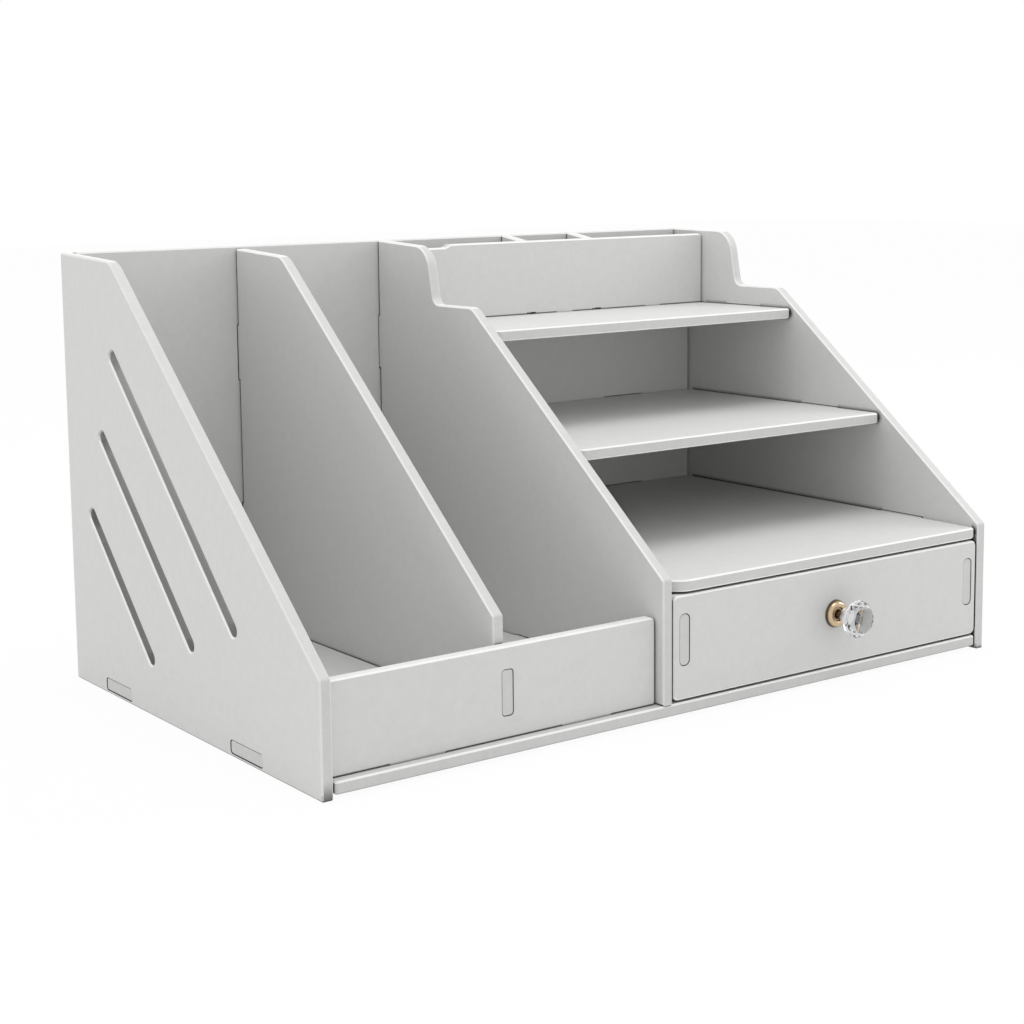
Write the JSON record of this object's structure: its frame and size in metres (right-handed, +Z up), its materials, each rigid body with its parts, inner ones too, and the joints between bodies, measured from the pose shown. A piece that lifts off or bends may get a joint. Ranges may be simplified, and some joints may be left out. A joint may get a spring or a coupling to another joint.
{
  "type": "desktop file shelf with drawer",
  "caption": "Desk organizer of white board with slanted file bays, stepped shelves, a pen box along the back and a drawer with a crystal knob.",
  "frame": {"origin": "on the table, under the middle of the whole outline, the knob included", "axes": "+X to the right seen from the front, +Y towards the back, +Z up; the drawer opens towards -Y"},
  "size_m": [0.4308, 0.2758, 0.2294],
  "materials": {
    "board": "matte white foamed board, eased edges",
    "brass": "polished pale brass",
    "crystal": "clear faceted glass",
    "steel": "zinc-plated screw"
  },
  "bodies": {
    "carcass": {"left_side_panel": "board", "file_divider": "board", "centre_panel": "board", "right_side_panel": "board", "back_panel": "board", "base_panel": "board", "bin_front_panel": "board", "file_floor_left": "board", "file_floor_right": "board", "pen_box_front": "board", "pen_divider_left": "board", "pen_divider_right": "board", "top_shelf": "board", "middle_shelf": "board", "drawer_top_shelf": "board", "shelf_back_panel": "board"},
    "drawer": {"drawer_front": "board", "drawer_left_side": "board", "drawer_right_side": "board", "drawer_back": "board", "drawer_bottom": "board", "knob_rose": "brass", "knob_stem": "brass", "knob_crystal": "crystal", "knob_screw": "steel"}
  },
  "joints": [
    {"name": "drawer_slide", "type": "slide", "parent": "carcass", "child": "drawer", "axis": [0, -1, 0], "range_m": [0, 0.17]}
  ]
}
